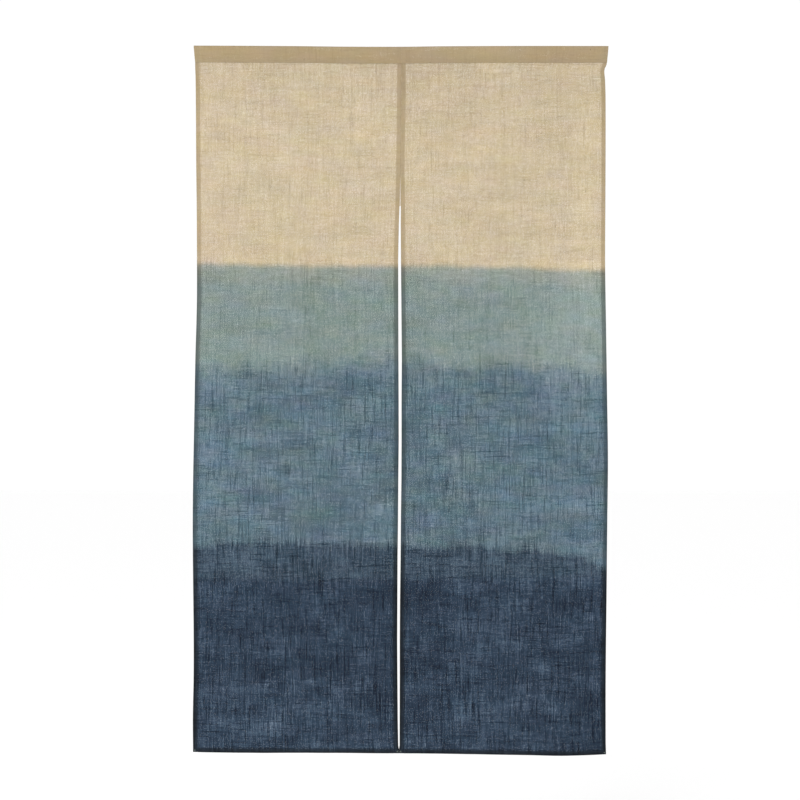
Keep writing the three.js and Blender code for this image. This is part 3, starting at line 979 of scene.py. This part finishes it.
def dye_and_shade_depth(tree, flat, shares, yarns, shows, others):
    """How deep the dye and the painted shade are, 1 on average.

    The patches, plus each direction's gains times its yarn and times how strongly it shows, make the
    streaks. The depth is one, plus the streaks times their strength, plus the other terms, among them the
    painted shade between the threads, plus the weave's mean painted shade.
    """
    size, seed, gain = PATCHES
    streaks = work_out(tree, "MULTIPLY", noise_over(tree, flat, size, seed, 1.0), gain)
    for uneven, showing, gains in zip(yarns, shows, (WARP_GAINS, WEFT_GAINS)):
        undyed, dyed = (weighted_sum(tree, zip(uneven, row)) for row in gains)
        streaks = work_out(tree, "MULTIPLY_ADD", mixed(tree, shares[0], undyed, dyed), showing, streaks)
    streaks = work_out(tree, "MULTIPLY", streaks, streak_strength(tree, flat, shares, stored(tree, "hem")))
    terms = weighted_sum(tree, ((streaks, 1.0), *others))
    return work_out(tree, "ADD", terms, 1.0 + PAINTED_WEAVE_SHADE * WEAVE_MEAN)


print("lengths of warp that may hold a fleck:", FLECK_LENGTH, "mm")

# %% [markdown]
# ## Tone and hue
# Light that meets twice the dye is dimmed twice over, so the colour is the tone raised to the depth of
# the dye: thick threads come out darker and fuller in colour, as they really do. Undyed thick places are
# only duller, so they lose some red and get some blue back. The hems are painted in darker tones towards
# their folds: painted shade of the stacked layers. The hue wanders a little everywhere, because the vat
# never held quite one colour.

# %% Colour of the dyed cloth
UNDYED = (0.365, 0.295, 0.193, 1)
GREY_GREEN = (0.124, 0.164, 0.154, 1)
DENIM = (0.0545, 0.0895, 0.1125, 1)
NAVY = (0.0095, 0.0187, 0.0344, 1)
TONES = (UNDYED, GREY_GREEN, DENIM, NAVY)
# Hem tones: each tone painted darker, as painted shade of the hem's stacked layers.
UNDYED_SHADED_HEM = (0.365, 0.286, 0.174, 1)
GREY_GREEN_SHADED_HEM = (0.084, 0.105, 0.099, 1)
DENIM_SHADED_HEM = (0.0387, 0.0603, 0.0729, 1)
NAVY_SHADED_HEM = (0.0032, 0.0055, 0.0083, 1)
SHADED_HEM_TONES = (UNDYED_SHADED_HEM, GREY_GREEN_SHADED_HEM, DENIM_SHADED_HEM, NAVY_SHADED_HEM)
# Columns: width and height of the waves in millimetres, seed, gain by tone, gain in thick undyed places.
RED_STRAYS = ((60, 24), 6.5, (0.062, 0.14, 0.26, 0.15), -0.12)
BLUE_STRAYS = ((50, 28), 16.5, (0.18, 0.18, 0.24, 0.0), 0.30)


def dyed_colour(tree, flat, shares, depth):
    """The tone raised to the depth, with its red and blue each times a gain.

    A gain is one, plus its wave times the tone's gain, plus its last gain times how far the depth is
    above one where the cloth is undyed.
    """
    tones = (by_tone(tree, shares, values) for values in (TONES, SHADED_HEM_TONES))
    # Towards a hem's fold the tone goes over to the darker hem tone: painted shade of the stacked layers.
    tone = mixed(tree, stored(tree, "hem"), *tones, colours=True)
    colour = add_node(tree, "ShaderNodeGamma", None, {"Color": tone, "Gamma": depth}).outputs[0]
    undyed = work_out(tree, "SUBTRACT", 1.0, shares[0])
    thick = work_out(tree, "MULTIPLY", work_out(tree, "SUBTRACT", depth, 1.0), undyed)
    gains = []
    for size, seed, by_tones, in_thick in (RED_STRAYS, BLUE_STRAYS):
        wave, wave_gain = noise_over(tree, flat, size, seed, 2.0), by_tone(tree, shares, by_tones)
        rest = work_out(tree, "MULTIPLY_ADD", thick, in_thick, 1.0)
        gains.append(work_out(tree, "MULTIPLY_ADD", wave, wave_gain, rest))
    inputs = {0: colour, 1: vector(tree, gains[0], 1.0, gains[1])}
    return add_node(tree, "ShaderNodeVectorMath", {"operation": "MULTIPLY"}, inputs).outputs[0]


print("tones:", len(TONES))

# %% [markdown]
# ## Gaps between the threads
# Sheer linen is woven openly, and daylight shows through the gaps as tiny bright holes. They are wide
# where the threads are thin and close where they are thick. Dye and washing swell the yarn, so the gaps
# narrow from tone to tone. Cut as holes in the mesh they would be a million edges, so they are left clear
# in the material.

# %% Holes in the cloth
HOLE_WIDTH = (0.22, 0.16, 0.10, 0.06)
SLUB_CLOSES, NUB_CLOSES = 1.8, 1.6


def holes(tree, shares, threads, yarns):
    """1 where both directions leave a gap.

    A thread leaves a gap where the distance from its middle is more than one half less the gap's half
    width: half the tone's hole width, times one less the slubs and nubs, and never less than nothing.
    """
    half_width = work_out(tree, "MULTIPLY", by_tone(tree, shares, HOLE_WIDTH), 0.5)
    gaps = []
    for thread, (_, slub, nub) in zip(threads, yarns):
        thinner = work_out(tree, "ADD", weighted_sum(tree, ((slub, -SLUB_CLOSES), (nub, -NUB_CLOSES))), 1.0)
        gap = work_out(tree, "MULTIPLY", half_width, work_out(tree, "MAXIMUM", thinner, 0.0))
        gap_from = work_out(tree, "SUBTRACT", 0.5, gap)
        gaps.append(work_out(tree, "GREATER_THAN", from_middle(tree, thread), gap_from))
    return work_out(tree, "MULTIPLY", *gaps)


print("widest gaps:", HOLE_WIDTH[0], "of a thread's pitch")

# %% [markdown]
# ## The linen
# All of it comes together in one material, because both panels and the heading are one cloth. Most light
# is scattered back, a third passes through and glows on the other side, and the gaps are clear. The relief
# of the weave only tilts the light a little.

# %% The linen material
LINEN = {"Roughness": 0.88, "Specular IOR Level": 0.22, "Sheen Weight": 0.06, "Sheen Roughness": 0.5}
LIGHT_THROUGH = 0.34
SLUB_RELIEF = 0.6
RELIEF = {"Strength": 0.5, "Distance": 0.0002}


def linen_material(name):
    """Uneven plain-weave linen in four dip-dyed tones, over the piece's own flat coordinates."""
    material, tree, output = new_material(name)
    place = add_node(tree, "ShaderNodeUVMap", {"uv_map": "cloth"}).outputs[0]
    parts = add_node(tree, "ShaderNodeSeparateXYZ", None, {0: place})
    across, down = flat = [work_out(tree, "DIVIDE", parts.outputs[k], MM) for k in (0, 1)]
    warp, weft = thread_number(tree, flat, 0, WARP_STRAYS), thread_number(tree, flat, 1, WEFT_STRAYS)
    yarns = (yarn(tree, warp, down, *WARP_YARN), yarn(tree, weft, across, *WEFT_YARN))
    (_, warp_slub, warp_nub), (_, weft_slub, _) = yarns
    weave, *shows = plain_weave(tree, warp, weft)

    shares = dye_shares(tree, flat, warp_slub, warp_nub)
    # Besides the flecks, the paler places and the painted shade between the threads go into the depth.
    others = ((flecks(tree, warp, down), FLECK_DEPTH), (stored(tree, "paler"), -1.0), (weave, -PAINTED_WEAVE_SHADE))
    colour = dyed_colour(tree, flat, shares, dye_and_shade_depth(tree, flat, shares, yarns, shows, others))

    height = weighted_sum(tree, ((weave, 1.0), (warp_slub, SLUB_RELIEF), (weft_slub, SLUB_RELIEF)))
    bump = add_node(tree, "ShaderNodeBump", None, {"Height": height, **RELIEF}).outputs[0]
    inputs = {"Base Color": colour, "Normal": bump, **LINEN}
    face = add_node(tree, "ShaderNodeBsdfPrincipled", None, inputs).outputs[0]
    glow = add_node(tree, "ShaderNodeBsdfTranslucent", None, {"Color": colour, "Normal": bump}).outputs[0]
    body = add_node(tree, "ShaderNodeMixShader", None, {0: LIGHT_THROUGH, 1: face, 2: glow}).outputs[0]
    clear = add_node(tree, "ShaderNodeBsdfTransparent").outputs[0]
    inputs = {0: holes(tree, shares, (warp, weft), yarns), 1: body, 2: clear}
    cloth = add_node(tree, "ShaderNodeMixShader", None, inputs).outputs[0]
    tree.links.new(cloth, output.inputs["Surface"])
    print(f"{name}: {len(tree.nodes)} nodes")
    return material


linen = linen_material("dip_dyed_linen")
for piece in (*panels.values(), heading):
    piece.data.materials.append(linen)

# %% [markdown]
# ## Thread
# The curtain was sewn before it was dyed, so its thread took the dye with the cloth. The colour follows
# the height of the stitch, and a fine twist runs along it. The tacks are of paler thread.

# %% The thread materials
# Columns: share of the drop at which the tone begins, its colour.
THREAD_TONES = (
    (0.0, (0.38, 0.30, 0.19, 1)), (0.310, (0.095, 0.118, 0.112, 1)),
    (0.447, (0.050, 0.076, 0.092, 1)), (0.708, (0.010, 0.015, 0.023, 1)),
)
TACK_COLOUR = (0.080, 0.098, 0.090, 1)
TWIST = {"Scale": 900.0, "Detail": 2.0}
SPUN = {"Roughness": 0.7, "Specular IOR Level": 0.25}


def thread_material(name, tones, spread):
    """Spun thread in tones by height below the top edge, mottled finely along its length.

    The mottle is a fine noise from 0 to 1; the tone is scaled by one, plus spread times that noise less
    a half.
    """
    material, tree, output = new_material(name)
    place = add_node(tree, "ShaderNodeTexCoord").outputs["Object"]
    height = add_node(tree, "ShaderNodeSeparateXYZ", None, {0: place}).outputs[2]
    share = work_out(tree, "DIVIDE", height, -DROP * MM)
    ramp = add_node(tree, "ShaderNodeValToRGB", None, {0: share})
    ramp.color_ramp.interpolation = "CONSTANT" if len(tones) > 1 else "LINEAR"
    for index, (where, colour) in enumerate(tones):
        stop = ramp.color_ramp.elements[index] if index < 2 else ramp.color_ramp.elements.new(where)
        stop.position, stop.color = where, colour
    if len(tones) == 1:
        ramp.color_ramp.elements[1].color = tones[0][1]
    mottle = add_node(tree, "ShaderNodeTexNoise", None, {"Vector": place, **TWIST}).outputs["Fac"]
    scale = {0: ramp.outputs[0], "Scale": work_out(tree, "MULTIPLY_ADD", mottle, spread, 1 - spread / 2)}
    colour = add_node(tree, "ShaderNodeVectorMath", {"operation": "SCALE"}, scale).outputs[0]
    thread = add_node(tree, "ShaderNodeBsdfPrincipled", None, {"Base Color": colour, **SPUN}).outputs[0]
    tree.links.new(thread, output.inputs["Surface"])
    return material


sewing_thread = thread_material("sewing_thread", THREAD_TONES, 0.5)
tack_thread = thread_material("tack_thread", ((0.0, TACK_COLOUR),), 0.6)
for piece in (*sewing.values(), joining):
    piece.data.materials.append(sewing_thread)
tacks.data.materials.append(tack_thread)

# %% [markdown]
# ## Tie the pieces to the model
# Each cloth stands for its solid, which is hidden. The cloth and the stitches that are on it are
# attached to the model's root.

for side, panel in panels.items():
    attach(panel, "root")
    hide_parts(f"panel_{side}")
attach(heading, "root")
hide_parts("heading")
for piece in (*sewing.values(), joining, tacks):
    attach(piece, "root")
print("declared:", ", ".join(piece.name for piece in (*panels.values(), heading)))

# %% [markdown]
# ## Light and floor
# Even, nearly shadowless light shows cloth best. A white surround lights both faces, so that the pale
# linen glows where it is single, and one broad lamp from the upper left shapes the folds.

# %% Stage
FLOOR_AT = -1.9
FLOOR_REACH = 30.0
FLOOR_PAINT = {"Base Color": (0.97, 0.97, 0.97, 1), "Roughness": 0.9}
SURROUND = 1.02
LAMP_WATTS = 150.0
LAMP_SIZE = 2.4
LAMP_AT = (-1.1, -3.8, 0.9)
AIMED_AT = (0.0, 0.0, -0.75)

world = bpy.data.worlds.new("surround")
world.use_nodes = True
background = world.node_tree.nodes["Background"].inputs
background["Color"].default_value = (1, 1, 1, 1)
background["Strength"].default_value = SURROUND
bpy.context.scene.world = world

floor_mesh = bpy.data.meshes.new("floor")
corners = [(x * FLOOR_REACH, y * FLOOR_REACH, FLOOR_AT) for x, y in ((-1, -1), (1, -1), (1, 1), (-1, 1))]
floor_mesh.from_pydata(corners, [], [(0, 1, 2, 3)])
floor = bpy.data.objects.new("floor", floor_mesh)
bpy.context.scene.collection.objects.link(floor)
floor_paint, floor_tree, floor_output = new_material("pale_floor")
floor_shader = add_node(floor_tree, "ShaderNodeBsdfPrincipled", None, FLOOR_PAINT)
floor_tree.links.new(floor_shader.outputs[0], floor_output.inputs["Surface"])
floor_mesh.materials.append(floor_paint)

lamp_data = bpy.data.lights.new("broad_lamp", "AREA")
lamp_data.energy = LAMP_WATTS
lamp_data.size = LAMP_SIZE
lamp = bpy.data.objects.new("broad_lamp", lamp_data)
lamp.location = LAMP_AT
aim = np.array(AIMED_AT) - np.array(LAMP_AT)
lamp.rotation_euler = (math.atan2(math.hypot(aim[0], aim[1]), -aim[2]), 0, math.atan2(-aim[0], aim[1]))
bpy.context.scene.collection.objects.link(lamp)

bpy.context.scene.view_settings.view_transform = "Standard"
bpy.context.scene.view_settings.look = "None"
print("lamp at", LAMP_AT, "and floor at", FLOOR_AT, "m")
